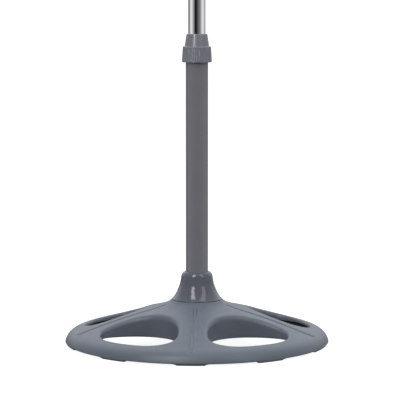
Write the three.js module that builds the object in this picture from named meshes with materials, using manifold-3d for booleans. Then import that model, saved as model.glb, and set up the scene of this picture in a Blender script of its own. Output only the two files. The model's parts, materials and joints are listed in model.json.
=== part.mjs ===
// Telescopic pedestal stand: a round moulded base with five openings, a painted outer tube,
// a screw-down lock collar and a plated inner pole that slides and turns in the tube.
// Millimetres, +Z up, origin on the floor at the centre of the base, front spoke along -Y.
import * as THREE from "three";
import { mergeVertices } from "three/addons/utils/BufferGeometryUtils.js";
import Module from "manifold-3d";

// ---------- shared dimensions ----------
const BASE_R = 190;
const HUB_SEAT_Z = 63;         // flat seat for the hub cover
const SOCKET_Z = 30;           // floor of the socket that holds the outer tube
const BOSS_Z = 24;             // underside of the boss round the socket
const BOLT_HOLE_R = 5.3;
const LOBE_Z = 0.7;            // underside of the foot lobes, top of the pads
const BALLAST_TOP = 13.5;
const SCREW_PITCH_R = 173;     // pitch radius of the ballast screws
const SPOKES = 5;
const LOBES = 2 * SPOKES;
const BASE_SEG = 48, SEG = 32, FINE_SEG = 12; // facets: base, turned parts, small holes and pins

const DEG = Math.PI / 180;
// evenly spaced directions in degrees, counted from the front
const directions = (count, offset = 0) =>
  Array.from({ length: count }, (_, k) => -90 + offset + (360 / count) * k);
const SPOKE_DIRS = directions(SPOKES);
const OPENING_DIRS = directions(SPOKES, 180 / SPOKES);
const LOBE_DIRS = directions(LOBES);

const wasm = await Module();
wasm.setup();

// ---------- mesh helpers ----------
// weld vertices, drop collapsed triangles and make the faces point outwards
function clean(geom) {
  const loose = geom.index ? geom.toNonIndexed() : geom.clone();
  loose.deleteAttribute("normal");
  loose.deleteAttribute("uv");
  const welded = mergeVertices(loose, 1e-4);
  const source = welded.index.array;
  const pos = welded.attributes.position.array;
  const tris = [];
  let volume = 0;
  for (let i = 0; i < source.length; i += 3) {
    const [a, b, c] = source.slice(i, i + 3);
    if (a === b || b === c || a === c) continue;
    tris.push(a, b, c);
    const [va, vb, vc] = [a, b, c].map((v) => new THREE.Vector3().fromArray(pos, v * 3));
    volume += va.dot(vb.cross(vc));
  }
  if (volume < 0) {
    for (let i = 0; i < tris.length; i += 3) {
      [tris[i + 1], tris[i + 2]] = [tris[i + 2], tris[i + 1]];
    }
  }
  const out = new THREE.BufferGeometry();
  out.setAttribute("position", new THREE.BufferAttribute(new Float32Array(pos), 3));
  out.setIndex(tris);
  return out;
}

function solid(geom) {
  const cleaned = clean(geom);
  return new wasm.Manifold(new wasm.Mesh({
    numProp: 3,
    vertProperties: cleaned.attributes.position.array,
    triVerts: new Uint32Array(cleaned.index.array),
  }));
}

function toGeometry(manifold) {
  const mesh = manifold.getMesh();
  const geom = new THREE.BufferGeometry();
  geom.setAttribute("position", new THREE.BufferAttribute(mesh.vertProperties.slice(), 3));
  geom.setIndex(Array.from(mesh.triVerts));
  return geom;
}

const cut = (body, tool) => toGeometry(solid(body).subtract(solid(tool)));
const turned = (geom, degrees) => geom.clone().rotateZ(degrees * DEG);
const turnedSolid = (geom, degrees) => solid(turned(geom, degrees));

// ---------- shape helpers ----------
// revolve a closed profile of [radius, z] points about Z
function revolve(profile, segments = SEG) {
  const points = [...profile, profile[0]].map(([radius, z]) => new THREE.Vector2(radius, z));
  return new THREE.LatheGeometry(points, segments).rotateX(Math.PI / 2);
}

function ring(innerR, outerR, bottom, top, segments = SEG) {
  return revolve([[innerR, bottom], [outerR, bottom], [outerR, top], [innerR, top]], segments);
}

function extrude(points, bottom, top) {
  const options = { depth: top - bottom, bevelEnabled: false, steps: 1 };
  return new THREE.ExtrudeGeometry(new THREE.Shape(points), options).translate(0, 0, bottom);
}

// upright cylinder on the X axis
function rod(radius, bottom, top, x = 0, segments = 16) {
  return new THREE.CylinderGeometry(radius, radius, top - bottom, segments)
    .rotateX(Math.PI / 2)
    .translate(x, 0, (bottom + top) / 2);
}

// block along X, centred on y = 0
function bar(xStart, xEnd, width, bottom, top) {
  return new THREE.BoxGeometry(xEnd - xStart, width, top - bottom)
    .translate((xStart + xEnd) / 2, 0, (bottom + top) / 2);
}

const polar = (radius, degrees) =>
  new THREE.Vector2(radius * Math.cos(degrees * DEG), radius * Math.sin(degrees * DEG));

// outline of a ring sector centred on +X
function sector(innerR, outerR, halfAngle) {
  const steps = 4;
  const arc = (radius) => Array.from({ length: steps + 1 },
    (_, i) => polar(radius, -halfAngle + 2 * halfAngle * i / steps));
  return [...arc(outerR), ...arc(innerR).reverse()];
}

// ---------- materials and group ----------
const MATERIALS = {
  shell: { color: 0x7d858e, roughness: 0.5, metalness: 0.0 },
  cover: { color: 0x4d5058, roughness: 0.15, metalness: 0.0 },
  paint: { color: 0x656568, roughness: 0.4, metalness: 0.1 },
  collar: { color: 0x6e707a, roughness: 0.4, metalness: 0.0 },
  chrome: { color: 0xc8ccd0, roughness: 0.08, metalness: 1.0 },
  iron: { color: 0x1c1c1e, roughness: 0.7, metalness: 0.5 },
  steel: { color: 0x9a9ca0, roughness: 0.4, metalness: 0.9 },
  rubber: { color: 0x202022, roughness: 0.9, metalness: 0.0 },
  bush: { color: 0x2a2b2e, roughness: 0.6, metalness: 0.0 },
};
const stand = new THREE.Group();

function put(name, geom, material) {
  const mesh = new THREE.Mesh(clean(geom), new THREE.MeshStandardMaterial(MATERIALS[material]));
  mesh.name = name;
  stand.add(mesh);
}

// ---------- base shell ----------
const RIM_BOTTOM = 2.4;
const SOCKET_R = 16.3;
const BOSS_R = 22;
const SKIN = 1.6;                    // ribs and lips stop this far below the top surface
const LIP_T = 3, LIP_Z = 15.8;       // wall round each opening: thickness, lower edge
const GROOVE_W = 6.8, GROOVE_D = 2;  // channel along the top of each spoke
const GROOVE_START = 46, GROOVE_END = 179;
const RIB_T = 3;
const DEEP_RIB = { start: BOSS_R - 1, end: 168, bottom: BOSS_Z, top: 58 };
const LOW_RIB = { start: 43, end: 164, bottom: LIP_Z, top: 40 };
const SCREW_BOSS = { radius: 5, top: 18, holeR: 2.2, holeTop: 16.6 };
const LOBE = { innerR: 181, outerR: 187.8, halfAngle: 7.6, top: 3.5 };

// [radius, z] from the hub seat out to the rim and just under it
const TOP = [
  [37.2, HUB_SEAT_Z], [42, 58.9], [50.7, 55.2], [76.8, 48.3], [111.5, 39.2], [144.9, 29],
  [166.6, 21.8], [178.2, 17.8], [185.4, 12.5], [188.8, 7.2], [BASE_R, 3.6], [188.2, RIM_BOTTOM],
];
// [radius, z] from the rim back in to the boss, the bolt hole and the socket
const UNDER = [
  [185.2, RIM_BOTTOM], [186, 6.8], [181, 13], [166.6, 18.5], [144.9, 25.7], [76.8, 45],
  [BOSS_R, 57.6], [BOSS_R, BOSS_Z], [BOLT_HOLE_R, BOSS_Z], [BOLT_HOLE_R, SOCKET_Z],
  [SOCKET_R, SOCKET_Z], [SOCKET_R, HUB_SEAT_Z],
];
// points of TOP that bound the space inside the shell
const INSIDE_STEPS = [0, 2, 3, 5, 6, 7, 8];

// [x, y] of one opening centred on +X: its +Y half between the two ends on the axis
const OPENING_HALF = [
  [79.5, 15], [86.5, 30], [97, 43.5], [109, 53.2], [120.5, 60],
  [131.4, 62.3], [141.9, 59.2], [151, 51], [158.8, 37.8], [163.6, 20],
];
const OPENING_START = 78, OPENING_END = 165; // x of the two ends
const OPENING_MID = 122;                     // x of a point well inside
const OPENING_DIVISIONS = 30;

// solid space under the top surface lowered by drop
function spaceBelow(drop) {
  const floor = -5;
  const surface = INSIDE_STEPS.map((i) => [TOP[i][0], TOP[i][1] - drop]).reverse();
  return solid(revolve(
    [[0, floor], [BASE_R - 1.5, floor], ...surface, [0, HUB_SEAT_Z - drop]], BASE_SEG));
}

function openingOutline() {
  const mirrored = OPENING_HALF.map(([x, y]) => [x, -y]).reverse();
  const loop = [[OPENING_START, 0], ...OPENING_HALF, [OPENING_END, 0], ...mirrored]
    .map(([x, y]) => new THREE.Vector3(x, y, 0));
  return new THREE.CatmullRomCurve3(loop, true, "centripetal")
    .getPoints(OPENING_DIVISIONS)
    .slice(0, -1)
    .map(({ x, y }) => new THREE.Vector2(x, y));
}

// move an opening's outline outwards, whichever way it runs
function offsetOut(points, distance) {
  return points.map((point, i) => {
    const before = points[(i + points.length - 1) % points.length];
    const after = points[(i + 1) % points.length];
    const along = new THREE.Vector2().subVectors(after, before).normalize();
    const normal = new THREE.Vector2(along.y, -along.x);
    if (normal.dot(new THREE.Vector2(point.x - OPENING_MID, point.y)) < 0) normal.negate();
    return point.clone().addScaledVector(normal, distance);
  });
}

function baseShell() {
  const opening = openingOutline();
  const inside = spaceBelow(SKIN);
  const grooveFloor = spaceBelow(GROOVE_D);
  const lip = extrude(offsetOut(opening, LIP_T), LIP_Z, 70);
  const [deepRib, lowRib] = [DEEP_RIB, LOW_RIB]
    .map(({ start, end, bottom, top }) => bar(start, end, RIB_T, bottom, top));
  const screwBoss = rod(SCREW_BOSS.radius, BALLAST_TOP, SCREW_BOSS.top, SCREW_PITCH_R);
  const screwHole = rod(
    SCREW_BOSS.holeR, BALLAST_TOP - 1, SCREW_BOSS.holeTop, SCREW_PITCH_R, FINE_SEG);
  const groove = bar(GROOVE_START, GROOVE_END, GROOVE_W, 10, 70);
  const lobe = extrude(sector(LOBE.innerR, LOBE.outerR, LOBE.halfAngle), LOBE_Z, LOBE.top);

  let shell = solid(revolve([...TOP, ...UNDER], BASE_SEG));
  for (const dir of OPENING_DIRS) {
    shell = shell.add(turnedSolid(lip, dir).intersect(inside));
  }
  for (const dir of SPOKE_DIRS) {
    const rib = turnedSolid(deepRib, dir).add(turnedSolid(lowRib, dir));
    shell = shell.add(rib.intersect(inside));
    shell = shell.add(turnedSolid(screwBoss, dir));
    shell = shell.subtract(turnedSolid(screwHole, dir));
    shell = shell.subtract(turnedSolid(groove, dir).subtract(grooveFloor));
  }
  for (const dir of LOBE_DIRS) shell = shell.add(turnedSolid(lobe, dir));
  // openings go last, so they also trim the lips and ribs
  for (const dir of OPENING_DIRS) {
    shell = shell.subtract(turnedSolid(extrude(opening, -5, 80), dir));
  }
  return toGeometry(shell.simplify(0.03));
}
put("base_shell", baseShell(), "shell");

// ---------- ballast ring, its screws and the foot pads ----------
const BALLAST = { innerR: 166.5, outerR: 180, bottom: 3, chamfer: 2, holeR: 2.4, counterboreR: 4.3 };
const SCREW = { shankR: 1.9, shankTop: 16.2, headR: 3.9, headBottom: 3.4, headTop: 6.2 };
const RECESS = { width: 1, length: 6, top: 4.6 }; // cross recess in the screw head
const PAD = { innerR: 182, outerR: 187, halfAngle: 6.2 };

// ring under the rim, with a counterbored hole for each screw
function ballastRing() {
  const { innerR, outerR, bottom, chamfer, holeR, counterboreR } = BALLAST;
  let body = solid(revolve([
    [innerR, bottom], [outerR, bottom], [outerR, BALLAST_TOP - chamfer],
    [outerR - chamfer, BALLAST_TOP], [innerR, BALLAST_TOP],
  ], BASE_SEG));
  for (const dir of SPOKE_DIRS) {
    body = body.subtract(turnedSolid(rod(holeR, 0, 20, SCREW_PITCH_R, FINE_SEG), dir));
    body = body.subtract(turnedSolid(rod(counterboreR, 0, SCREW.headTop, SCREW_PITCH_R), dir));
  }
  return toGeometry(body);
}

function ballastScrew() {
  const slot = (length, width) => solid(bar(
    SCREW_PITCH_R - length / 2, SCREW_PITCH_R + length / 2, width, 3, RECESS.top));
  return toGeometry(solid(rod(SCREW.shankR, 5, SCREW.shankTop, SCREW_PITCH_R, FINE_SEG))
    .add(solid(rod(SCREW.headR, SCREW.headBottom, SCREW.headTop, SCREW_PITCH_R)))
    .subtract(slot(RECESS.length, RECESS.width))
    .subtract(slot(RECESS.width, RECESS.length)));
}

put("ballast_ring", ballastRing(), "iron");
SPOKE_DIRS.forEach((dir, k) => {
  put(`ballast_screw_${k + 1}`, turned(ballastScrew(), dir), "steel");
});
LOBE_DIRS.forEach((dir, k) => {
  const pad = extrude(sector(PAD.innerR, PAD.outerR, PAD.halfAngle), 0, LOBE_Z);
  put(`foot_pad_${String(k + 1).padStart(2, "0")}`, turned(pad, dir), "rubber");
});

// ---------- fixing at the centre, stacked down from the boss ----------
const PLATE_R = 40, PLATE_Z = BOSS_Z - 3;
const WASHER_IR = 4.3, WASHER_SEG = 24;
const FLAT_R = 12, FLAT_Z = PLATE_Z - 1.6;
const SPRING_R = 7.4, SPRING_Z = FLAT_Z - 2;
const HEAD_R = 7.5, HEAD_H = 6;      // hexagon head, radius to its corners
const BOLT_R = 4, BOLT_TOP = 45;

function baseBolt() {
  const hexagon = Array.from({ length: 6 }, (_, i) => polar(HEAD_R, i * 60));
  return toGeometry(solid(extrude(hexagon, SPRING_Z - HEAD_H, SPRING_Z))
    .add(solid(rod(BOLT_R, 17, BOLT_TOP, 0, 20))));
}

put("hub_plate", ring(BOLT_HOLE_R, PLATE_R, PLATE_Z, BOSS_Z), "steel");
put("flat_washer", ring(WASHER_IR, FLAT_R, FLAT_Z, PLATE_Z, WASHER_SEG), "steel");
put("spring_washer",
  cut(ring(WASHER_IR, SPRING_R, SPRING_Z, FLAT_Z, WASHER_SEG), bar(3, 9, 1, 16, 21)), "steel");
put("base_bolt", baseBolt(), "steel");

// [radius, z] down the outside, then up the inside
const HUB_COVER = [
  [16.4, 103.2], [18.5, 102.9], [20.3, 101.5], [21.6, 99.4], [22.4, 97.1], [22.9, 94],
  [24, 88.2], [25.6, 82.4], [27.8, 76.6], [30.6, 70.8], [32.4, 67.9], [36.3, HUB_SEAT_Z],
  [33.3, HUB_SEAT_Z], [29, 68.6], [25.2, 76.6], [22.4, 85.1], [20.6, 95.1], [19, 99.2],
  [16.4, 100.2],
];
put("hub_cover", revolve(HUB_COVER), "cover");

// ---------- outer tube, with a plug riveted in its foot ----------
const TUBE_OR = 16, TUBE_IR = 14.5, TUBE_TOP = 421;
const RIVET_Z = 50, RIVET_R = 1.9, RIVET_L = 31.4, RIVET_HOLE_R = 2.2;
// [radius, z], with a blind bore from below for the base bolt
const TUBE_PLUG = [[4.3, 30.4], [14.3, 30.4], [14.3, 55], [0, 55], [0, 46.2], [4.3, 46.2]];

// cylinder along X at the height of the rivet
const crossRod = (radius, length) =>
  new THREE.CylinderGeometry(radius, radius, length, FINE_SEG)
    .rotateZ(Math.PI / 2)
    .translate(0, 0, RIVET_Z);
const rivetHole = crossRod(RIVET_HOLE_R, 60);

put("outer_tube", cut(ring(TUBE_IR, TUBE_OR, SOCKET_Z, TUBE_TOP), rivetHole), "paint");
put("tube_plug", cut(revolve(TUBE_PLUG), rivetHole), "bush");
put("plug_rivet", crossRod(RIVET_R, RIVET_L), "steel");

// ---------- lock at the top of the tube, profiles as [radius, z] ----------
const COLLET_BUSH = [
  [16.2, 406.5], [18.1, 406.5], [18.1, 425.5], [12.65, 425.5], [12.65, 421.3], [16.2, 421.3],
];
const GRIP_RING = [[12.6, 425.9], [14.85, 425.9], [14.85, 427.9], [13.85, 436], [12.6, 436]];
const GRIP_SLOT_W = 2;
// up the outside, over the step and the top, then down the inside
const LOCK_COLLAR = [
  [18.4, 404.7], [20.9, 404.7], [21.3, 405.4], [21.25, 409], [20.7, 417.5], [20.2, 426.2],
  [19.7, 427], [17.45, 427.2], [16.9, 432], [15.95, 437.8], [15.1, 443.2], [14.6, 445],
  [12.8, 445], [12.8, 441.7], [13.6, 441.2], [15.2, 428.6], [15.2, 427.6], [18.4, 425.9],
];
put("collet_bush", revolve(COLLET_BUSH), "bush");
put("grip_ring", cut(revolve(GRIP_RING), bar(10, 18, GRIP_SLOT_W, 420, 440)), "bush");
put("lock_collar", revolve(LOCK_COLLAR), "collar");

// ---------- inner pole ----------
const POLE_OR = 12.35, POLE_IR = 11.35, POLE_Z = 182, POLE_TOP = 598;
const SPIGOT_R = 11.2;               // part of the foot and cap inside the pole
const FOOT_R = 14, FOOT_Z = POLE_Z - 3, FOOT_TOP = 196;
const CAP_Z = 584, CAP_TOP = POLE_TOP + 3, CAP_CHAMFER = 0.8;
const END_GAP = 0.3;                 // play below and above the guide bush
const GUIDE = { innerR: 12.5, outerR: 14.2, top: 227 };
const SNAP = { innerR: 12.4, outerR: 13.9, height: 1.5, gap: 3 };

function snapRing() {
  const bottom = GUIDE.top + END_GAP;
  const body = ring(SNAP.innerR, SNAP.outerR, bottom, bottom + SNAP.height);
  return cut(body, bar(10, 16, SNAP.gap, 226, 230));
}

put("inner_pole", ring(POLE_IR, POLE_OR, POLE_Z, POLE_TOP), "chrome");
put("pole_foot", revolve([
  [0, FOOT_Z], [FOOT_R, FOOT_Z], [FOOT_R, POLE_Z],
  [SPIGOT_R, POLE_Z], [SPIGOT_R, FOOT_TOP], [0, FOOT_TOP],
]), "bush");
put("guide_bush", ring(GUIDE.innerR, GUIDE.outerR, POLE_Z + END_GAP, GUIDE.top), "bush");
put("snap_ring", snapRing(), "steel");
put("pole_cap", revolve([
  [0, CAP_Z], [SPIGOT_R, CAP_Z], [SPIGOT_R, POLE_TOP], [POLE_OR, POLE_TOP],
  [POLE_OR, CAP_TOP - CAP_CHAMFER], [POLE_OR - CAP_CHAMFER, CAP_TOP], [0, CAP_TOP],
]), "bush");

export default stand;
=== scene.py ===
import bpy, bmesh, json, math
import numpy as np
from mathutils import Vector, Matrix

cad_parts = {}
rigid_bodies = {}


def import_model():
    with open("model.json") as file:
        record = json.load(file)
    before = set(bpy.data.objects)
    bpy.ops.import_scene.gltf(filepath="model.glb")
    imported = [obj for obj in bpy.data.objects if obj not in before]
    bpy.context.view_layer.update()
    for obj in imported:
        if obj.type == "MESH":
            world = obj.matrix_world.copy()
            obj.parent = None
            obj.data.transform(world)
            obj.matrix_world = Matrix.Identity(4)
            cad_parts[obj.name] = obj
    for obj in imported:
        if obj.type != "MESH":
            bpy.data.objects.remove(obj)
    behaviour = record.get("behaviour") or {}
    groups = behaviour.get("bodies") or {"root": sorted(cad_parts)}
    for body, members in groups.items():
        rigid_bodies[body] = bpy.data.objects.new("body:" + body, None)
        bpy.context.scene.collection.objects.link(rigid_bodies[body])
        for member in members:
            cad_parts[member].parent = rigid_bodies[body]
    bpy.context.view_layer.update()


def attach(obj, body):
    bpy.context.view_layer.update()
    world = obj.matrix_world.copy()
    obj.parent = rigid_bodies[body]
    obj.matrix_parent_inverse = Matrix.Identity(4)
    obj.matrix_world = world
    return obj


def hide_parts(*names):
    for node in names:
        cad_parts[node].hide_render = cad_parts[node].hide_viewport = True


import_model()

MM = 0.001
D2R = math.pi / 180.0
SPOKES = 5


# ------------------------------------------------------------------ curves
def pchip(xs, ys):
    """Monotone cubic through the points, so a profile has no ripples."""
    xs, ys = np.asarray(xs, float), np.asarray(ys, float)
    h, dl = np.diff(xs), np.diff(ys) / np.diff(xs)
    m = np.zeros(len(xs))
    for i in range(1, len(xs) - 1):
        if dl[i - 1] * dl[i] > 0:
            w1, w2 = 2 * h[i] + h[i - 1], h[i] + 2 * h[i - 1]
            m[i] = (w1 + w2) / (w1 / dl[i - 1] + w2 / dl[i])
    m[0], m[-1] = dl[0], dl[-1]

    def f(x):
        x = np.clip(np.asarray(x, float), xs[0], xs[-1])
        i = np.clip(np.searchsorted(xs, x) - 1, 0, len(xs) - 2)
        t = (x - xs[i]) / h[i]
        return ((2 * t**3 - 3 * t**2 + 1) * ys[i] + (t**3 - 2 * t**2 + t) * h[i] * m[i]
                + (-2 * t**3 + 3 * t**2) * ys[i + 1] + (t**3 - t**2) * h[i] * m[i + 1])
    return f


def catmull(points, per, closed):
    """Centripetal Catmull-Rom curve through the points."""
    p = [np.array(q, float) for q in points]
    n = len(p)
    if closed:
        get = lambda i: p[i % n]
        spans = n
    else:
        first, last = 2 * p[0] - p[1], 2 * p[-1] - p[-2]
        get = lambda i: first if i < 0 else (last if i >= n else p[i])
        spans = n - 1
    out = []
    for i in range(spans):
        a, b, c, d = get(i - 1), get(i), get(i + 1), get(i + 2)
        t0 = 0.0
        t1 = t0 + max(np.linalg.norm(b - a), 1e-9) ** 0.5
        t2 = t1 + max(np.linalg.norm(c - b), 1e-9) ** 0.5
        t3 = t2 + max(np.linalg.norm(d - c), 1e-9) ** 0.5
        for k in range(per):
            t = t1 + (t2 - t1) * k / per
            a1 = (t1 - t) / (t1 - t0) * a + (t - t0) / (t1 - t0) * b
            a2 = (t2 - t) / (t2 - t1) * b + (t - t1) / (t2 - t1) * c
            a3 = (t3 - t) / (t3 - t2) * c + (t - t2) / (t3 - t2) * d
            b1 = (t2 - t) / (t2 - t0) * a1 + (t - t0) / (t2 - t0) * a2
            b2 = (t3 - t) / (t3 - t1) * a2 + (t - t1) / (t3 - t1) * a3
            out.append((t2 - t) / (t2 - t1) * b1 + (t - t1) / (t2 - t1) * b2)
    if not closed:
        out.append(p[-1])
    return np.array(out)


def fillet(points, radii, steps=5, closed=True):
    """Rounds the corners of a (radius, height) polyline, one radius a corner."""
    n = len(points)
    out = []
    for i in range(n):
        p = np.array(points[i], float)
        r = radii[i] if i < len(radii) else 0
        if (not closed and i in (0, n - 1)) or r <= 0:
            out.append(tuple(p))
            continue
        a, b = np.array(points[i - 1], float) - p, np.array(points[(i + 1) % n], float) - p
        la, lb = np.linalg.norm(a), np.linalg.norm(b)
        a, b = a / la, b / lb
        half = math.acos(max(-1, min(1, float(a @ b)))) / 2
        if half > math.pi / 2 - 0.02:
            out.append(tuple(p))
            continue
        t = min(r / math.tan(half), la * 0.48, lb * 0.48)
        rr = t * math.tan(half)
        mid = (a + b) / np.linalg.norm(a + b)
        c = p + mid * (rr / math.sin(half))
        s, e = p + a * t - c, p + b * t - c
        ang = math.acos(max(-1, min(1, float(s @ e) / (rr * rr))))
        for k in range(steps + 1):
            f = k / steps
            v = (math.sin((1 - f) * ang) * s + math.sin(f * ang) * e) / math.sin(ang)
            out.append(tuple(c + v))
    return out


# ------------------------------------------------------------------ mesh helpers
def new_object(name, verts, faces, smooth_angle=35.0, weld=2e-7):
    me = bpy.data.meshes.new(name)
    me.from_pydata([tuple(v) for v in verts], [], faces)
    bm = bmesh.new()
    bm.from_mesh(me)
    bmesh.ops.remove_doubles(bm, verts=bm.verts, dist=weld)
    bmesh.ops.dissolve_degenerate(bm, edges=bm.edges, dist=weld)
    bmesh.ops.recalc_face_normals(bm, faces=bm.faces)
    if bm.calc_volume(signed=True) < 0:
        bmesh.ops.reverse_faces(bm, faces=bm.faces)
    for f in bm.faces:
        f.smooth = True
    for e in bm.edges:
        e.smooth = not (len(e.link_faces) == 2 and e.calc_face_angle(0.0) > smooth_angle * D2R)
    bm.to_mesh(me)
    bm.free()
    me.update()
    ob = bpy.data.objects.new(name, me)
    bpy.context.scene.collection.objects.link(ob)
    return ob


def revolve_data(profile, seg, closed=True, flute=None, phase=0.0):
    """Vertices and faces of a profile of (radius, height) in mm turned about Z."""
    verts, faces = [], []
    m = len(profile)
    for j in range(seg):
        a = 2 * math.pi * j / seg + phase
        for i, (r, z) in enumerate(profile):
            if flute:
                r = flute(a, r, z, i)
            verts.append((r * math.cos(a) * MM, r * math.sin(a) * MM, z * MM))
    rows = m if closed else m - 1
    for j in range(seg):
        k = (j + 1) % seg
        for i in range(rows):
            i2 = (i + 1) % m
            q = [j * m + i, k * m + i, k * m + i2, j * m + i2]
            r1, r2 = profile[i][0], profile[i2][0]
            if r1 < 1e-9 and r2 < 1e-9:
                continue
            faces.append(q)
    return verts, faces


def lathe(name, profile, seg=96, closed=True, flute=None, smooth_angle=35.0, phase=0.0):
    v, f = revolve_data(profile, seg, closed, flute, phase)
    return new_object(name, v, f, smooth_angle)


def prism(points, z0, z1, chamfer=0.0):
    """A closed plate from a plan outline, edges chamfered top and bottom."""
    n = len(points)
    c = np.mean(np.array(points), axis=0)
    def ring(scale_in, z):
        out = []
        for i in range(n):
            p = np.array(points[i], float)
            a, b = np.array(points[i - 1], float), np.array(points[(i + 1) % n], float)
            t = (b - a) / np.linalg.norm(b - a)
            nrm = np.array([t[1], -t[0]])
            if nrm @ (p - c) < 0:
                nrm = -nrm
            q = p - nrm * scale_in
            out.append((q[0] * MM, q[1] * MM, z * MM))
        return out
    rings = [ring(chamfer, z0), ring(0, z0 + chamfer), ring(0, z1 - chamfer), ring(chamfer, z1)] if chamfer else [ring(0, z0), ring(0, z1)]
    verts = [v for r in rings for v in r]
    faces = []
    for k in range(len(rings) - 1):
        for i in range(n):
            j = (i + 1) % n
            faces.append([k * n + i, k * n + j, (k + 1) * n + j, (k + 1) * n + i])
    faces.append(list(range(n))[::-1])
    faces.append([(len(rings) - 1) * n + i for i in range(n)])
    return verts, faces


def rotated(verts, deg):
    c, s = math.cos(deg * D2R), math.sin(deg * D2R)
    return [(x * c - y * s, x * s + y * c, z) for x, y, z in verts]


def boolean(ob, others, op):
    """Applies a boolean of each other object and removes it."""
    for o in others:
        m = ob.modifiers.new("b", "BOOLEAN")
        m.operation = op
        m.object = o
        try:
            m.solver = "MANIFOLD"
        except TypeError:
            m.solver = "EXACT"
        dg = bpy.context.evaluated_depsgraph_get()
        dg.update()
        me = bpy.data.meshes.new_from_object(ob.evaluated_get(dg), depsgraph=dg)
        ob.modifiers.remove(m)
        if len(me.polygons) > 10:
            old = ob.data
            ob.data = me
            bpy.data.meshes.remove(old)
        bpy.data.objects.remove(o, do_unlink=True)
    me = ob.data
    for p in me.polygons:
        p.use_smooth = True
    bm = bmesh.new()
    bm.from_mesh(me)
    for e in bm.edges:
        e.smooth = not (len(e.link_faces) == 2 and e.calc_face_angle(0.0) > 35 * D2R)
    bm.to_mesh(me)
    bm.free()
    return ob


# ------------------------------------------------------------------ materials
def material(name, color, rough, metal=0.0, vary=0.08, vary_scale=18.0, rough_vary=0.06, grain=900.0, bump=0.05,
             bump_dist=0.00012, wear=0.12, wear_color=None, coat=0.0, coat_rough=0.1, spec=0.5, streak=None, stretch=(1, 1, 1),
             dust=0.0):
    m = bpy.data.materials.new(name)
    m.use_nodes = True
    nt = m.node_tree
    N, L = nt.nodes, nt.links
    N.clear()
    out = N.new("ShaderNodeOutputMaterial")
    b = N.new("ShaderNodeBsdfPrincipled")
    L.new(b.outputs[0], out.inputs[0])
    b.inputs["Metallic"].default_value = metal
    b.inputs["Specular IOR Level"].default_value = spec
    b.inputs["Coat Weight"].default_value = coat
    b.inputs["Coat Roughness"].default_value = coat_rough
    tc = N.new("ShaderNodeTexCoord")
    mp = N.new("ShaderNodeMapping")
    mp.inputs["Scale"].default_value = stretch
    L.new(tc.outputs["Object"], mp.inputs["Vector"])

    def noise(scale, detail=4.0, r=0.55):
        n = N.new("ShaderNodeTexNoise")
        n.inputs["Scale"].default_value = scale
        n.inputs["Detail"].default_value = detail
        n.inputs["Roughness"].default_value = r
        L.new(mp.outputs[0], n.inputs["Vector"])
        return n.outputs[0]

    def maprange(src, a, c, lo=0.0, hi=1.0):
        r = N.new("ShaderNodeMapRange")
        r.inputs["From Min"].default_value = lo
        r.inputs["From Max"].default_value = hi
        r.inputs["To Min"].default_value = a
        r.inputs["To Max"].default_value = c
        L.new(src, r.inputs["Value"])
        return r.outputs[0]

    def mix(fac, a, c):
        x = N.new("ShaderNodeMix")
        x.data_type = "RGBA"
        L.new(fac, x.inputs["Factor"])
        for sock, val in ((x.inputs[6], a), (x.inputs[7], c)):
            if isinstance(val, (tuple, list)):
                sock.default_value = (*val, 1.0)
            else:
                L.new(val, sock)
        return x.outputs[2]

    big = noise(vary_scale, 5.0)
    lo_c = tuple(max(0.0, c * (1 - vary)) for c in color)
    hi_c = tuple(min(1.0, c * (1 + vary)) for c in color)
    col = mix(maprange(big, 0.0, 1.0, 0.3, 0.7), lo_c, hi_c)
    fine = noise(grain * 0.6, 2.0)
    col = mix(maprange(fine, 0.0, 0.25, 0.35, 0.75), col, tuple(min(1.0, c * (1 + vary * 1.6)) for c in color))
    if wear > 0:
        geo = N.new("ShaderNodeNewGeometry")
        edge = maprange(geo.outputs["Pointiness"], 0.0, 1.0, 0.515, 0.56)
        mul = N.new("ShaderNodeMath")
        mul.operation = "MULTIPLY"
        L.new(edge, mul.inputs[0])
        L.new(maprange(noise(220.0, 4.0), 0.0, wear, 0.42, 0.62), mul.inputs[1])
        col = mix(mul.outputs[0], col, wear_color or tuple(min(1.0, c * 1.6 + 0.03) for c in color))
    if dust > 0:
        geo2 = N.new("ShaderNodeNewGeometry")
        sep = N.new("ShaderNodeSeparateXYZ")
        L.new(geo2.outputs["Normal"], sep.inputs[0])
        up = maprange(sep.outputs[2], 0.0, 1.0, 0.6, 1.0)
        mul2 = N.new("ShaderNodeMath")
        mul2.operation = "MULTIPLY"
        L.new(up, mul2.inputs[0])
        L.new(maprange(noise(60.0, 6.0, 0.7), 0.0, dust, 0.45, 0.75), mul2.inputs[1])
        col = mix(mul2.outputs[0], col, (0.55, 0.55, 0.54))
    L.new(col, b.inputs["Base Color"])
    rg = maprange(noise(vary_scale * 3.1, 4.0), max(0.01, rough - rough_vary), rough + rough_vary, 0.3, 0.7)
    L.new(rg, b.inputs["Roughness"])
    if bump > 0:
        bp = N.new("ShaderNodeBump")
        bp.inputs["Strength"].default_value = bump
        bp.inputs["Distance"].default_value = bump_dist
        h = noise(grain, 3.0)
        if streak:
            wv = N.new("ShaderNodeTexNoise")
            wv.inputs["Scale"].default_value = streak[0]
            wv.inputs["Detail"].default_value = 3.0
            m2 = N.new("ShaderNodeMapping")
            m2.inputs["Scale"].default_value = streak[1]
            L.new(tc.outputs["Object"], m2.inputs["Vector"])
            L.new(m2.outputs[0], wv.inputs["Vector"])
            add = N.new("ShaderNodeMath")
            add.operation = "ADD"
            L.new(h, add.inputs[0])
            L.new(wv.outputs[0], add.inputs[1])
            h = add.outputs[0]
        L.new(h, bp.inputs["Height"])
        L.new(bp.outputs[0], b.inputs["Normal"])
    return m


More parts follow.
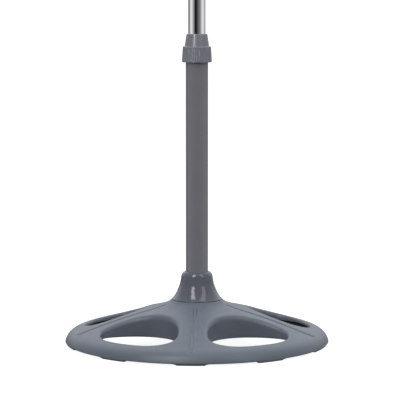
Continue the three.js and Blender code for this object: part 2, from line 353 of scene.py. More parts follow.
M_SHELL = material("grey_moulded_plastic", (0.157, 0.185, 0.230), 0.42, vary=0.05, grain=1400, bump=0.16, bump_dist=0.00008, wear=0.25, rough_vary=0.04, dust=0.04)
M_COVER = material("dark_gloss_plastic", (0.155, 0.167, 0.204), 0.09, vary=0.04, grain=700, bump=0.006, bump_dist=0.00002, wear=0.08, rough_vary=0.02, coat=0.15, coat_rough=0.06)
M_TUBE = material("satin_grey_paint", (0.274, 0.277, 0.304), 0.42, vary=0.04, grain=1800, bump=0.10, bump_dist=0.00005, wear=0.1, rough_vary=0.04, coat=0.15, coat_rough=0.2)
M_COLLAR = material("grey_collar_plastic", (0.298, 0.305, 0.356), 0.27, vary=0.05, grain=1500, bump=0.003, bump_dist=0.00002, wear=0.25, rough_vary=0.01)
M_CHROME = material("plated_tube", (0.78, 0.78, 0.80), 0.05, metal=1.0, vary=0.03, grain=300, bump=0.012, bump_dist=0.00003, wear=0.0, rough_vary=0.02, streak=(90.0, (30, 30, 0.6)))
M_IRON = material("black_coated_iron", (0.012, 0.012, 0.014), 0.55, metal=0.2, vary=0.3, grain=400, bump=0.3, bump_dist=0.0004, wear=0.4, wear_color=(0.10, 0.09, 0.085))
M_STEEL = material("zinc_plated_steel", (0.52, 0.53, 0.54), 0.32, metal=1.0, vary=0.08, grain=1200, bump=0.08, bump_dist=0.00005, wear=0.2, rough_vary=0.08)
M_RUBBER = material("foot_rubber", (0.018, 0.018, 0.019), 0.85, vary=0.2, grain=1500, bump=0.3, bump_dist=0.0001, wear=0.2, wear_color=(0.07, 0.07, 0.068), dust=0.2)
M_BUSH = material("black_bush_plastic", (0.028, 0.029, 0.032), 0.45, vary=0.12, grain=1300, bump=0.1, bump_dist=0.00006, wear=0.2, rough_vary=0.06)

placed = []


def place(ob, mat, body, slot, *nodes):
    ob.data.materials.clear()
    ob.data.materials.append(mat)
    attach(ob, body)
    if nodes:
        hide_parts(*nodes)
    placed.append(ob)
    return ob


# ------------------------------------------------------------------ base shell
HUB_R = 37.6
OUT_R = 181.5
UND_R = 178.0
LIP_Z = 15.8
LIP_T = 3.0
EDGE_R = 5.2      # opening edges: how far the rounding reaches across the top
EDGE_V = 6.8      # and how far down the wall
Z_TOP = pchip([30, 36.6, 37.6, 39.2, 42, 46, 50.7, 60, 76.8, 94, 111.5, 128, 144.9, 156, 166.6, 172, 178.2, 181.5, 184],
              [64.1, 62.9, 62.2, 60.8, 58.9, 56.9, 55.2, 52.4, 48.3, 44.0, 39.2, 34.2, 29.0, 25.4, 21.8, 20.1, 17.8, 16.0, 14.2])
Z_UND = pchip([20, 42, 76.8, 144.9, 166.6, 178, 182], [57.6, 54.6, 45.0, 25.7, 18.5, 14.5, 12.6])


def smooth(t):
    t = np.clip(t, 0, 1)
    return t * t * (3 - 2 * t)


def z_top(x, y):
    """Height of the top surface with the channel along each spoke; x, y in a sector centred on +X."""
    r = np.hypot(x, y)
    th = np.abs(np.arctan2(y, x))
    g = math.pi / SPOKES - th
    d, u = np.abs(r * np.sin(g)), r * np.cos(g)
    hw = 3.0 + (u - 46) / (179 - 46) * 0.8
    ends = smooth((u - 43.5) / 5.0) * smooth((181.5 - u) / 9.0)
    depth = 1.9 * ends * (1 - smooth((d - (hw - 2.1)) / 2.7))
    return Z_TOP(r) - depth


HALF = [(79.5, 15), (86.5, 30), (97, 43.5), (109, 53.2), (120.5, 60), (131.4, 62.3), (141.9, 59.2), (151, 51), (158.8, 37.8), (163.6, 20)]
OUTLINE = [(78, 0)] + HALF + [(165, 0)] + [(x, -y) for x, y in HALF[::-1]]
dense = catmull(OUTLINE, 40, True)
for _ in range(220):
    dense = dense * 0.5 + (np.roll(dense, 1, 0) + np.roll(dense, -1, 0)) * 0.25
CX = 125.0

N_H, N_S, N_R = 36, 74, 72


def boundary(r0, r1):
    a = math.pi / SPOKES
    pts = []
    for i in range(N_H):
        t = -a + 2 * a * i / N_H
        pts.append((r0 * math.cos(t), r0 * math.sin(t)))
    for i in range(N_S):
        r = r0 + (r1 - r0) * i / N_S
        pts.append((r * math.cos(a), r * math.sin(a)))
    for i in range(N_R):
        t = a - 2 * a * i / N_R
        pts.append((r1 * math.cos(t), r1 * math.sin(t)))
    for i in range(N_S):
        r = r1 + (r0 - r1) * i / N_S
        pts.append((r * math.cos(-a), r * math.sin(-a)))
    return np.array(pts)


def outline_for(bound):
    """The outline point each boundary point looks at, evened out along the outline."""
    ang = np.unwrap(np.arctan2(bound[:, 1], bound[:, 0] - CX))
    oa = np.unwrap(np.arctan2(dense[:, 1], dense[:, 0] - CX))
    if oa[-1] < oa[0]:
        d2, oa2 = dense[::-1], oa[::-1]
    else:
        d2, oa2 = dense, oa
    oa3 = np.concatenate([oa2 - 4 * math.pi, oa2 - 2 * math.pi, oa2, oa2 + 2 * math.pi, oa2 + 4 * math.pi])
    d3 = np.tile(d2, (5, 1))
    s = np.concatenate([[0], np.cumsum(np.linalg.norm(np.diff(np.vstack([d2, d2[:1]]), axis=0), axis=1))])
    total = s[-1]
    s3 = np.concatenate([s[:-1] + k * total for k in range(-2, 3)])
    want = np.interp(ang, oa3, s3)
    n = len(want)
    sign = 1 if want[-1] > want[0] else -1
    ext = lambda w: np.concatenate([[w[-1] - sign * total], w, [w[0] + sign * total]])
    for _ in range(60):
        e = ext(want)
        want = want * 0.4 + (e[:-2] + e[2:]) * 0.3
    px = np.interp(want, s3, d3[:, 0])
    py = np.interp(want, s3, d3[:, 1])
    o = np.stack([px, py], 1)
    t = np.roll(o, -1, 0) - np.roll(o, 1, 0)
    t /= np.linalg.norm(t, axis=1)[:, None]
    nrm = np.stack([t[:, 1], -t[:, 0]], 1)
    flip = np.sum(nrm * (o - np.array([CX, 0])), axis=1) < 0
    nrm[flip] *= -1
    return o, nrm


def base_shell():
    verts, faces = [], []

    def strip(rings, deg):
        """Joins closed loops of equal length into quads."""
        n = len(rings[0])
        c, s = math.cos(deg * D2R), math.sin(deg * D2R)
        base = len(verts)
        for ring in rings:
            for x, y, z in ring:
                verts.append(((x * c - y * s) * MM, (x * s + y * c) * MM, z * MM))
        for k in range(len(rings) - 1):
            for i in range(n):
                j = (i + 1) % n
                faces.append([base + k * n + i, base + k * n + j, base + (k + 1) * n + j, base + (k + 1) * n + i])

    bt, bu = boundary(HUB_R, OUT_R), boundary(HUB_R, UND_R)
    o, nrm = outline_for(bt)
    rings = []
    # underside, from the sector boundary in to the outside of the lip
    lip_out = o + nrm * LIP_T
    for t in np.linspace(0, 1, 8):
        p = bu * (1 - t) + lip_out * t
        z = Z_UND(np.hypot(p[:, 0], p[:, 1]))
        rings.append(np.column_stack([p, z]))
    # down the outside of the lip, round its edge, and up the wall
    zo = rings[-1][:, 2]
    for f in (0.5, 1.0):
        rings.append(np.column_stack([lip_out, zo + (LIP_Z + 0.7 - zo) * f]))
    for a in (45, 90):
        p = o + nrm * (LIP_T - 0.7 * (1 - math.cos(a * D2R)))
        rings.append(np.column_stack([p, np.full(len(p), LIP_Z + 0.7 - 0.7 * math.sin(a * D2R))]))
    for a in (90, 60, 30, 0):
        p = o + nrm * (0.7 * (1 - math.cos(a * D2R)))
        rings.append(np.column_stack([p, np.full(len(p), LIP_Z + 0.7 - 0.7 * math.sin(a * D2R))]))
    zt = z_top(o[:, 0], o[:, 1])
    ev = np.minimum(EDGE_V, zt - LIP_Z - 1.4)
    z0, z1 = LIP_Z + 0.7, zt - ev
    for f in (0.2, 0.4, 0.6, 0.8):
        rings.append(np.column_stack([o, z0 + (z1 - z0) * f]))
    # rounded top edge
    for a in np.linspace(0, 90, 9):
        p = o + nrm * (EDGE_R * (1 - math.cos(a * D2R)))
        z = z_top(p[:, 0], p[:, 1]) - ev * (1 - math.sin(a * D2R))
        rings.append(np.column_stack([p, z]))
    # top surface out to the sector boundary, close lines near the channels
    start = o + nrm * EDGE_R
    away = np.linalg.norm(bt - start, axis=1)
    near = [0, 0.8, 1.4, 1.8, 2.1, 2.4, 2.7, 3.0, 3.3, 3.6, 4.0, 4.7, 6.0]
    for t in np.linspace(0, 1, 10)[1:]:
        d = away * (1 - t) + near[-1] * t
        f = (1 - d / away)[:, None]
        p = start * (1 - f) + bt * f
        rings.append(np.column_stack([p, z_top(p[:, 0], p[:, 1])]))
    for d in near[::-1][1:]:
        f = (1 - d / away)[:, None]
        p = start * (1 - f) + bt * f
        rings.append(np.column_stack([p, z_top(p[:, 0], p[:, 1])]))
    for k in range(SPOKES):
        strip(rings, -90 + 36 + 72 * k)

    # hub: seat for the cover, tube socket, boss underneath
    def turn(profile_at, n, closed=False):
        base = len(verts)
        m = None
        for j in range(n):
            a = (-90 + 360.0 * j / n) * D2R
            prof = profile_at(a)
            m = len(prof)
            for r, z in prof:
                verts.append((r * math.cos(a) * MM, r * math.sin(a) * MM, z * MM))
        for j in range(n):
            k = (j + 1) % n
            for i in range(m - 1):
                faces.append([base + j * m + i, base + k * m + i, base + k * m + i + 1, base + j * m + i + 1])

    hub_z = float(Z_TOP(HUB_R))
    hub = [(HUB_R, hub_z), (37.1, 62.6), (36.8, 62.7), (36.3, 62.65), (35.6, 62.3), (35.1, 62.35), (34.9, 63.0), (30, 63.0), (23, 63.0), (17.2, 63.0), (16.7, 62.85), (16.3, 62.4),
           (16.3, 45), (16.3, 30.5), (16.0, 30), (11, 30), (5.6, 30), (5.3, 29.7), (5.3, 27), (5.3, 24.4), (5.7, 24), (12, 24), (21.4, 24),
           (21.9, 24.2), (22, 24.8), (22, 36), (22, 48), (22.6, 55.1), (24.5, 56.8), (28, 57.2), (33, 56.5), (HUB_R, float(Z_UND(HUB_R)))]
    turn(lambda a: hub, SPOKES * N_H)

    # rim: rolls over, under it the ten moulded foot lobes, then the inside of the skirt
    outer = catmull([(181.5, float(Z_TOP(181.5))), (183.9, 14.15), (186.1, 11.75), (187.9, 8.9), (189.2, 6.0), (189.9, 3.9)], 5, False)

    def rim(a):
        off = (math.degrees(a) + 90.0) % 36.0
        off = min(off, 36.0 - off)
        lobe = float(np.clip((7.9 - off) / 2.4, 0, 1))
        prof = [tuple(p) for p in outer]
        prof[0] = (181.5, float(z_top(181.5 * math.cos(0), 0.0)))
        loc = ((math.degrees(a) + 90.0 + 36.0) % 72.0 - 36.0) * D2R     # angle from the nearest spoke
        th = math.pi / SPOKES - abs(loc)
        for i in range(len(prof)):
            r = prof[i][0]
            if r < 184.0:
                dz = float(z_top(r * math.cos(th), r * math.sin(th))) - float(Z_TOP(r))
                prof[i] = (r, prof[i][1] + dz)
        prof += [(190.0, 3.4), (189.85, 2.95), (189.5, 2.65 - 0.35 * lobe), (189.1 - 0.1 * lobe, 2.45 - 1.15 * lobe), (188.5 - 0.2 * lobe, 2.4 - 1.7 * lobe),
                 (186.5 - 2.0 * lobe, 2.4 - 1.7 * lobe), (185.6 - 4.2 * lobe, 2.4 - 1.7 * lobe), (185.25 - 4.25 * lobe, 2.6 - 1.6 * lobe),
                 (185.25 - 4.25 * lobe, 3.4), (185.4 - 3.8 * lobe, 3.6), (185.75, 3.8), (186.0, 6.8), (185.0, 9.2), (183.4, 11.3), (181.2, 13.0), (UND_R, float(Z_UND(UND_R)))]
        return prof

    turn(rim, SPOKES * N_R)
    shell = new_object("base_shell_moulding", verts, faces, 40.0, weld=3e-6)

    # ribs under the spokes and bosses for the ballast screws
    adds = []
    for k in range(SPOKES):
        deg = -90 + 72 * k
        rib_v, rib_f = [], []
        us = np.linspace(20.5, 165.0, 40)
        for u in us:
            lo = 24.3 if u < 43 else (24.3 + (LIP_Z + 0.6 - 24.3) * min(1.0, (u - 43) / 6.0))
            lo = lo if u < 150 else lo + (u - 150) * 0.12
            hi = float(Z_UND(u)) + 1.5
            for s, z in ((-1.15, lo), (1.15, lo), (1.6, hi), (-1.6, hi)):
                rib_v.append((u * MM, s * MM, z * MM))
        for i in range(len(us) - 1):
            for j in range(4):
                rib_f.append([i * 4 + j, i * 4 + (j + 1) % 4, (i + 1) * 4 + (j + 1) % 4, (i + 1) * 4 + j])
        rib_f.append([3, 2, 1, 0])
        rib_f.append([(len(us) - 1) * 4 + j for j in range(4)])
        adds.append(new_object("rib", rotated(rib_v, deg), rib_f))
        prof = [(2.25, 13.5), (4.7, 13.5), (5.0, 13.8), (5.2, 17.6), (2.25, 17.6)]
        v, f = revolve_data(prof, 32, True)
        v = [(x + 173 * MM, y, z) for x, y, z in v]
        adds.append(new_object("boss", rotated(v, deg), f))
    boolean(shell, adds, "UNION")
    return shell


shell = base_shell()
place(shell, M_SHELL, "base", "shell_plastic", "base_shell")

# ------------------------------------------------------------------ hub cover
cover_out = catmull([(16.35, 102.95), (16.9, 103.2), (18.5, 102.95), (20.3, 101.6), (21.6, 99.5), (22.45, 97.1), (22.9, 94), (23.4, 91.1), (24.0, 88.2),
                     (24.7, 85.3), (25.6, 82.4), (26.7, 79.5), (27.8, 76.7), (29.1, 73.8), (30.6, 70.9), (32.4, 68), (34.3, 65.5), (35.5, 64.2)], 4, False)
cover = [tuple(p) for p in cover_out] + [(36.0, 63.8), (36.05, 63.6), (35.85, 63.5), (34.9, 63.5), (34.75, 63.4), (34.7, 63), (34.0, 63), (33.5, 63.1), (31.6, 65.2), (29.8, 67.6), (28.0, 70.6), (25.2, 76.6),
                                         (22.9, 83.1), (21.6, 88.6), (20.8, 94), (20.2, 96.6), (19.0, 99.2), (17.4, 100), (16.35, 100.3)]
place(lathe("hub_cover_flared", cover, 144, True, smooth_angle=60), M_COVER, "base", "cover_plastic", "hub_cover")

# ------------------------------------------------------------------ outer tube and its plug
tube = [(14.5, 30.3), (14.8, 30.0), (15.7, 30.0), (16.0, 30.3)] + [(16.0, z) for z in (80, 140, 200, 260, 320, 380)] + [(16.0, 420.6), (15.7, 421.0), (14.8, 421.0), (14.5, 420.7)] + [(14.5, z) for z in (380, 260, 140)]
tube_ob = lathe("outer_tube_painted", tube, 96)
hole = lathe("cut", [(0, -30), (2.2, -30), (2.2, 30), (0, 30)], 32, False)
hole.data.transform(Matrix.Translation((0, 0, 0.05)) @ Matrix.Rotation(math.pi / 2, 4, "Y"))
boolean(tube_ob, [hole], "DIFFERENCE")
place(tube_ob, M_TUBE, "base", "tube_paint", "outer_tube")

plug = lathe("tube_plug_threaded", [(4.6, 30.4), (14.0, 30.4), (14.3, 30.8)] + [(14.3 - 0.35 * (i % 2), 32 + i * 1.5) for i in range(15)] + [(14.3, 54.5), (13.8, 55), (0, 55), (0, 46.2), (4.0, 46.2), (4.3, 45.6), (4.3, 30.8)], 64, False)
# close the profile at the mouth of the hole
me = plug.data
bm = bmesh.new(); bm.from_mesh(me)
edges = [e for e in bm.edges if len(e.link_faces) == 1]
if edges:
    bmesh.ops.bridge_loops(bm, edges=edges)
bmesh.ops.recalc_face_normals(bm, faces=bm.faces)
bm.to_mesh(me); bm.free()
hole = lathe("cut", [(0, -30), (2.2, -30), (2.2, 30), (0, 30)], 32, False)
hole.data.transform(Matrix.Translation((0, 0, 0.05)) @ Matrix.Rotation(math.pi / 2, 4, "Y"))
boolean(plug, [hole], "DIFFERENCE")
place(plug, M_BUSH, "base", "bush_plastic", "tube_plug")

riv = lathe("plug_rivet_pin", [(0, -15.7), (1.5, -15.7), (1.9, -15.3), (1.9, 0), (1.9, 15.3), (1.5, 15.7), (0, 15.7)], 32, False)
riv.data.transform(Matrix.Translation((0, 0, 0.05)) @ Matrix.Rotation(math.pi / 2, 4, "Y"))
place(riv, M_STEEL, "base", "zinc_steel", "plug_rivet")

# ------------------------------------------------------------------ lock: bush, grip ring, collar
bush_prof = fillet([(16.2, 406.5), (17.6, 406.5)] + [p for i in range(9) for p in ((18.05, 408.0 + 1.8 * i), (17.55, 408.9 + 1.8 * i))] + [(18.1, 425.5), (12.65, 425.5), (12.65, 421.3), (16.2, 421.3)],
                   [0.3, 0.3] + [0.15] * 18 + [0.5, 0.5, 0.3, 0.0], 3)
place(lathe("collet_bush_threaded", bush_prof, 96), M_BUSH, "base", "bush_plastic", "collet_bush")

gr = lathe("grip_ring_split", fillet([(12.6, 425.9), (14.85, 425.9), (14.85, 427.9), (13.85, 436), (12.6, 436)], [0.2, 0.4, 0.4, 0.4, 0.2], 3), 96)
pv, pf = prism([(9, -1), (18, -1), (18, 1), (9, 1)], 420, 440)
boolean(gr, [new_object("cut", pv, pf)], "DIFFERENCE")
place(gr, M_BUSH, "grip", "bush_plastic", "grip_ring")

collar_out = catmull([(21.33, 405.5), (21.28, 408), (21.1, 412), (20.85, 416), (20.6, 420), (20.35, 424), (20.2, 426.4)], 6, False)
upper = catmull([(17.45, 428.0), (17.2, 429.5), (16.9, 432), (16.4, 434.8), (15.98, 437.8), (15.5, 440.5), (15.15, 443.0), (14.95, 444.0)], 4, False)
collar = ([(18.4, 405.1), (18.8, 404.7), (20.95, 404.7), (21.2, 404.8), (21.31, 405.05)] + [tuple(p) for p in collar_out]
          + [(20.1, 426.75), (19.92, 426.93), (19.6, 427.0), (18.2, 427.05), (17.75, 427.2), (17.52, 427.5)] + [tuple(p) for p in upper]
          + [(14.6, 444.65), (14.2, 444.95), (13.6, 445.0), (13.1, 444.9), (12.8, 444.6), (12.8, 441.9), (13.0, 441.6), (13.6, 441.1), (14.2, 436.5), (15.2, 428.6), (15.2, 427.8), (15.6, 427.4), (18.2, 426.0), (18.4, 425.7)]
          + [(18.4 + 0.25 * ((i + 1) % 2), 424.5 - 1.2 * i) for i in range(14)])


def flutes(a, r, z, i):
    """Shallow upright grip lines on the lower step."""
    if r > 19.9 and 406.5 < z < 425.5:
        c = math.cos(a * 36)
        ends = min(1.0, (z - 406.5) / 1.5, (425.5 - z) / 1.5)
        return r - 0.34 * max(0.0, (c - 0.3) / 0.7) ** 0.7 * ends
    return r


place(lathe("lock_collar_two_step", collar, 360, True, flute=flutes, smooth_angle=50), M_COLLAR, "collar", "collar_plastic", "lock_collar")

# ------------------------------------------------------------------ inner pole and what it carries
pole = [(11.35, 182.3), (11.6, 182.0), (12.1, 182.0), (12.35, 182.3)] + [(12.35, z) for z in range(210, 598, 35)] + [(12.35, 597.7), (12.1, 598.0), (11.6, 598.0), (11.35, 597.7)] + [(11.35, z) for z in (500, 400, 300)]
place(lathe("inner_pole_plated", pole, 128), M_CHROME, "pole", "chrome_tube", "inner_pole")
place(lathe("pole_cap_moulded", [(0, 584), (10.6, 584), (11.2, 584.8)] + [(11.2 - 0.2 * (i % 2), 586.5 + 2 * i) for i in range(6)] + [(11.2, 598.0), (12.1, 598.0), (12.35, 598.25), (12.35, 599.9), (12.2, 600.5), (11.8, 600.85), (11.2, 601.0), (9.0, 601.0),
       (8.7, 600.9), (8.4, 600.6), (8.1, 600.5), (4, 600.45), (0, 600.45)], 96, False), M_BUSH, "pole", "bush_plastic", "pole_cap")
place(lathe("pole_foot_plug", [(0, 179), (13.2, 179), (13.8, 179.3), (14, 179.9), (14, 181.6), (13.7, 182.0), (11.2, 182.0), (11.2, 195.2), (10.5, 196), (0, 196)], 96, False), M_BUSH, "pole", "bush_plastic", "pole_foot")
gb = lathe("guide_bush_ribbed", [(12.5, 182.6), (12.8, 182.3), (13.9, 182.3), (14.2, 182.7)] + [(14.2 - (0.7 if 2 < (i % 12) < 9 else 0.0), 184 + i) for i in range(42)] + [(14.2, 226.5), (13.9, 227), (12.8, 227), (12.5, 226.7)], 96)
place(gb, M_BUSH, "slider", "bush_plastic", "guide_bush")
sr = lathe("snap_ring_split", fillet([(12.4, 227.3), (13.9, 227.3), (13.9, 228.8), (12.4, 228.8)], [0.3] * 4, 3), 96)
pv, pf = prism([(10, -1.5), (16, -1.5), (16, 1.5), (10, 1.5)], 226, 230)
boolean(sr, [new_object("cut", pv, pf)], "DIFFERENCE")
place(sr, M_STEEL, "pole", "zinc_steel", "snap_ring")

# ------------------------------------------------------------------ ballast, screws, pads
bal = lathe("ballast_ring_cast", fillet([(166.5, 3), (180, 3), (180, 11.5), (178, 13.5), (166.5, 13.5)], [0.8, 0.8, 0.6, 0.6, 0.8], 3), 240)
cuts = []
for k in range(SPOKES):
    for prof in ([(0, 0), (2.4, 0), (2.4, 20), (0, 20)], [(0, 0), (4.3, 0), (4.3, 6.2), (0, 6.2)]):
        v, f = revolve_data(prof, 32, False)
        cuts.append(new_object("cut", rotated([(x + 0.173, y, z) for x, y, z in v], -90 + 72 * k), f))
boolean(bal, cuts, "DIFFERENCE")
place(bal, M_IRON, "base", "ballast_iron", "ballast_ring")

for k in range(SPOKES):
    v, f = revolve_data([(0, 3.4), (3.2, 3.4), (3.7, 3.7), (3.9, 4.3), (3.9, 6.2), (1.9, 6.2)] + [(1.9 - 0.22 * (i % 2), 6.8 + 0.55 * i) for i in range(16)] + [(1.5, 15.8), (0.6, 16.2), (0, 16.2)], 32, False)
    s = new_object("screw", v, f)
    slots = []
    for a, b in ((2.9, 0.45), (0.45, 2.9)):
        pv, pf = prism([(-a, -b), (a, -b), (a, b), (-a, b)], 2.5, 4.8)
        slots.append(new_object("cut", pv, pf))
    boolean(s, slots, "DIFFERENCE")
    s.name = "ballast_screw_cross_%d" % (k + 1)
    for vert in s.data.vertices:
        x, y, z = vert.co
        x += 0.173
        c, sn = math.cos((-90 + 72 * k) * D2R), math.sin((-90 + 72 * k) * D2R)
        vert.co = (x * c - y * sn, x * sn + y * c, z)
    place(s, M_STEEL, "base", "zinc_steel", "ballast_screw_%d" % (k + 1))

for k in range(10):
    pts = []
    for i in range(13):
        a = (-6.2 + 12.4 * i / 12) * D2R
        pts.append((187 * math.cos(a), 187 * math.sin(a)))
    for i in range(12, -1, -1):
        a = (-6.2 + 12.4 * i / 12) * D2R
        pts.append((182 * math.cos(a), 182 * math.sin(a)))
    v, f = prism(pts, 0.0, 0.7, 0.18)
    place(new_object("foot_pad_rubber_%02d" % (k + 1), rotated(v, -90 + 36 * k), f), M_RUBBER, "base", "foot_rubber", "foot_pad_%02d" % (k + 1))

# ------------------------------------------------------------------ fixing under the hub
place(lathe("hub_plate_steel", fillet([(5.3, 21), (40, 21), (40, 24), (5.3, 24)], [0.3, 0.6, 0.6, 0.3], 3), 96), M_STEEL, "base", "zinc_steel", "hub_plate")
place(lathe("flat_washer_steel", fillet([(4.3, 19.4), (12, 19.4), (12, 21), (4.3, 21)], [0.2, 0.35, 0.35, 0.2], 3), 64), M_STEEL, "base", "zinc_steel", "flat_washer")
sw = lathe("spring_washer_split", fillet([(4.3, 17.4), (7.4, 17.4), (7.4, 19.4), (4.3, 19.4)], [0.2] * 4, 3), 64)
pv, pf = prism([(3, -0.5), (9, -0.5), (9, 0.5), (3, 0.5)], 16, 21)
boolean(sw, [new_object("cut", pv, pf)], "DIFFERENCE")
place(sw, M_STEEL, "base", "zinc_steel", "spring_washer")
hexp = [(7.5 * math.cos(i * 60 * D2R), 7.5 * math.sin(i * 60 * D2R)) for i in range(6)]
pv, pf = prism(hexp, 11.4, 17.4, 0.5)
bolt = new_object("base_bolt_hex", pv, pf, 25)
v, f = revolve_data([(0, 17.0), (4.0, 17.0)] + [(4.0 - 0.4 * (i % 2), 20 + 0.625 * i) for i in range(39)] + [(3.4, 44.6), (2.8, 45), (0, 45)], 32, False)
boolean(bolt, [new_object("cut", v, f)], "UNION")
place(bolt, M_STEEL, "base", "zinc_steel", "base_bolt")

# ------------------------------------------------------------------ stage, light, camera
fl_v = [(-40, -40, 0), (40, -40, 0), (40, 40, 0), (-40, 40, 0)]
floor_me = bpy.data.meshes.new("floor")
floor_me.from_pydata([(x, y, -0.0002) for x, y, _ in fl_v], [], [[0, 1, 2, 3]])
floor = bpy.data.objects.new("floor", floor_me)
bpy.context.scene.collection.objects.link(floor)
fm = bpy.data.materials.new("pale_floor")
fm.use_nodes = True
nt = fm.node_tree
nt.nodes.clear()
o_ = nt.nodes.new("ShaderNodeOutputMaterial")
# the camera sees a bright pale floor with a soft contact shadow; for the light it bounces it is a duller card
cam_d_, cam_e_, add_, dull_, mixf_, lpf_ = (nt.nodes.new(n) for n in ("ShaderNodeBsdfDiffuse", "ShaderNodeEmission", "ShaderNodeAddShader", "ShaderNodeBsdfDiffuse", "ShaderNodeMixShader", "ShaderNodeLightPath"))
clear_, mixg_ = nt.nodes.new("ShaderNodeBsdfTransparent"), nt.nodes.new("ShaderNodeMixShader")
cam_d_.inputs[0].default_value = (0.30, 0.30, 0.30, 1)
cam_e_.inputs[0].default_value = (1, 1, 1, 1)
cam_e_.inputs[1].default_value = 0.92
dull_.inputs[0].default_value = (0.11, 0.11, 0.12, 1)
nt.links.new(cam_d_.outputs[0], add_.inputs[0])
nt.links.new(cam_e_.outputs[0], add_.inputs[1])
nt.links.new(lpf_.outputs["Is Glossy Ray"], mixg_.inputs[0])
nt.links.new(dull_.outputs[0], mixg_.inputs[1])
nt.links.new(clear_.outputs[0], mixg_.inputs[2])
nt.links.new(lpf_.outputs["Is Camera Ray"], mixf_.inputs[0])
nt.links.new(mixg_.outputs[0], mixf_.inputs[1])
nt.links.new(add_.outputs[0], mixf_.inputs[2])
geo_, mixb_ = nt.nodes.new("ShaderNodeNewGeometry"), nt.nodes.new("ShaderNodeMixShader")
nt.links.new(geo_.outputs["Backfacing"], mixb_.inputs[0])
nt.links.new(mixf_.outputs[0], mixb_.inputs[1])
nt.links.new(clear_.outputs[0], mixb_.inputs[2])
nt.links.new(mixb_.outputs[0], o_.inputs[0])
floor_me.materials.append(fm)

world = bpy.data.worlds.new("studio")
bpy.context.scene.world = world
world.use_nodes = True
nt = world.node_tree
nt.nodes.clear()
N, L = nt.nodes, nt.links
wo = N.new("ShaderNodeOutputWorld")
bg_c, bg_l, mixs = N.new("ShaderNodeBackground"), N.new("ShaderNodeBackground"), N.new("ShaderNodeMixShader")
lp = N.new("ShaderNodeLightPath")
tcw = N.new("ShaderNodeTexCoord")
sep = N.new("ShaderNodeSeparateXYZ")
L.new(tcw.outputs["Generated"], sep.inputs[0])
neg = N.new("ShaderNodeMath"); neg.operation = "MULTIPLY"; neg.inputs[1].default_value = -1.0
L.new(sep.outputs[1], neg.inputs[0])
at = N.new("ShaderNodeMath"); at.operation = "ARCTAN2"
L.new(sep.outputs[0], at.inputs[0])
L.new(neg.outputs[0], at.inputs[1])
mr = N.new("ShaderNodeMapRange")
mr.inputs["From Min"].default_value = -math.pi
mr.inputs["From Max"].default_value = math.pi
L.new(at.outputs[0], mr.inputs["Value"])
ramp = N.new("ShaderNodeValToRGB")
L.new(mr.outputs[0], ramp.inputs[0])
stops = [(-180, 0.15), (-150, 0.12), (-129, 0.15), (-115, 0.26), (-104, 0.52), (-86, 1.0), (-78, 0.98), (-65, 0.74), (-50, 0.48), (-37, 0.33), (-29, 0.08), (-22, 0.015),
         (-7, 0.012), (5, 0.04), (19, 0.14), (33, 0.19), (47, 0.28), (60, 0.52), (77, 0.88), (94, 0.95), (108, 0.68), (122, 0.48), (155, 0.45), (180, 0.15)]
els = ramp.color_ramp.elements
while len(els) > 1:
    els.remove(els[-1])
for i, (a, v) in enumerate(stops):
    pos = (a + 180) / 360
    e = els[0] if i == 0 else els.new(pos)
    e.position = pos
    e.color = (v, v, v * 1.01, 1)
# overhead is brighter than the walls, below is the bounce of the floor
up = N.new("ShaderNodeMapRange")
up.inputs["From Min"].default_value = -0.01
up.inputs["From Max"].default_value = 0.08
up.inputs["To Min"].default_value = 0.0
up.inputs["To Max"].default_value = 1.0
L.new(sep.outputs[2], up.inputs["Value"])
mx = N.new("ShaderNodeMix"); mx.data_type = "RGBA"
L.new(up.outputs[0], mx.inputs["Factor"])
L.new(ramp.outputs[0], mx.inputs[6])
mx.inputs[7].default_value = (0.34, 0.34, 0.36, 1)
room = N.new("ShaderNodeMapRange")
room.inputs["From Min"].default_value = -0.05
room.inputs["From Max"].default_value = 0.5
room.inputs["To Min"].default_value = 0.26
room.inputs["To Max"].default_value = 0.68
L.new(sep.outputs[2], room.inputs["Value"])
# the lit backdrop behind the object, above floor level
gy, gz = N.new("ShaderNodeMapRange"), N.new("ShaderNodeMapRange")
for g, lo_, hi_, src in ((gy, 0.05, 0.75, 1), (gz, 0.03, 0.22, 2)):
    g.interpolation_type = "SMOOTHSTEP"
    g.inputs["From Min"].default_value, g.inputs["From Max"].default_value = lo_, hi_
    L.new(sep.outputs[src], g.inputs["Value"])
glow = N.new("ShaderNodeMath"); glow.operation = "MULTIPLY"
L.new(gy.outputs[0], glow.inputs[0])
L.new(gz.outputs[0], glow.inputs[1])
sel = N.new("ShaderNodeMix"); sel.data_type = "RGBA"
L.new(lp.outputs["Is Glossy Ray"], sel.inputs["Factor"])
L.new(room.outputs[0], sel.inputs[6])
L.new(mx.outputs[2], sel.inputs[7])
addg = N.new("ShaderNodeMix"); addg.data_type = "RGBA"; addg.blend_type = "ADD"
addg.inputs["Factor"].default_value = 0.55
L.new(sel.outputs[2], addg.inputs[6])
L.new(glow.outputs[0], addg.inputs[7])
L.new(addg.outputs[2], bg_l.inputs[0])
bg_l.inputs[1].default_value = 1.0
bg_c.inputs[0].default_value = (1, 1, 1, 1)
bg_c.inputs[1].default_value = 1.0
L.new(lp.outputs["Is Camera Ray"], mixs.inputs[0])
L.new(bg_l.outputs[0], mixs.inputs[1])
L.new(bg_c.outputs[0], mixs.inputs[2])
L.new(mixs.outputs[0], wo.inputs[0])


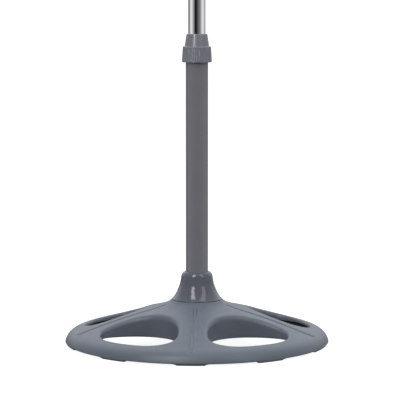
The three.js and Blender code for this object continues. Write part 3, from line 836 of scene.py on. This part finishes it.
def area(name, az, el, dist, w, h, power, seen, target=(0, 0, 0.2)):
    """Softbox at an azimuth from the front (positive to the right) and an elevation, in degrees."""
    d = bpy.data.lights.new(name, "AREA")
    d.shape = "RECTANGLE"
    d.size, d.size_y = w, h
    d.energy = power
    o = bpy.data.objects.new(name, d)
    a, e = az * D2R, el * D2R
    pos = Vector(target) + Vector((math.sin(a) * math.cos(e), -math.cos(a) * math.cos(e), math.sin(e))) * dist
    o.location = pos
    o.rotation_mode = "QUATERNION"
    o.rotation_quaternion = (Vector(target) - pos).to_track_quat("-Z", "Y")
    bpy.context.scene.collection.objects.link(o)
    o.visible_camera = False
    o.visible_diffuse = seen == "diffuse"
    o.visible_glossy = seen == "glossy"
    return o


# two boxes that only the shiny surfaces see and a low one for the collar alone, then the light itself, mostly from above
area("key_box", -24, 40.3, 2.0, 0.62, 1.43, 14.6, seen="glossy")
area("second_box", 48, 43.3, 2.0, 0.72, 1.83, 6.6, seen="glossy")
collar_box = area("collar_box", -24, 12.5, 2.0, 0.42, 0.74, 7.4, seen="glossy", target=(0, 0, 0.42))
only = bpy.data.collections.new("collar_only")
for o in bpy.data.objects:
    if o.type == "MESH" and o.name.startswith("lock_collar_two_step"):
        only.objects.link(o)
collar_box.light_linking.receiver_collection = only
area("front_fill", -5, 25, 2.2, 1.2, 1.2, 4.8, seen="diffuse")
area("overhead", 180, 70, 2.4, 2.2, 2.0, 19.0, seen="diffuse")

cam_d = bpy.data.cameras.new("camera")
cam = bpy.data.objects.new("camera", cam_d)
bpy.context.scene.collection.objects.link(cam)
CAM_D, CAM_H, CAM_PITCH, CAM_F, CAM_YAW, CAM_AZ = 3.2, 0.574, 6.55, 2241.7, -0.079, 2.7
cam_d.sensor_width = 36.0
cam_d.lens = CAM_F * 36.0 / 400.0
cam.location = (CAM_D * math.sin(CAM_AZ * D2R), -CAM_D * math.cos(CAM_AZ * D2R), CAM_H)
look = (CAM_AZ + CAM_YAW) * D2R
direction = Vector((-math.sin(look) * math.cos(CAM_PITCH * D2R), math.cos(look) * math.cos(CAM_PITCH * D2R), -math.sin(CAM_PITCH * D2R)))
cam.rotation_mode = "QUATERNION"
cam.rotation_quaternion = direction.to_track_quat("-Z", "Y")
cam_d.clip_start, cam_d.clip_end = 0.05, 50
bpy.context.scene.camera = cam
bpy.context.scene.view_settings.view_transform = "Standard"
bpy.context.scene.view_settings.look = "None"
bpy.context.scene.view_settings.exposure = 0.0
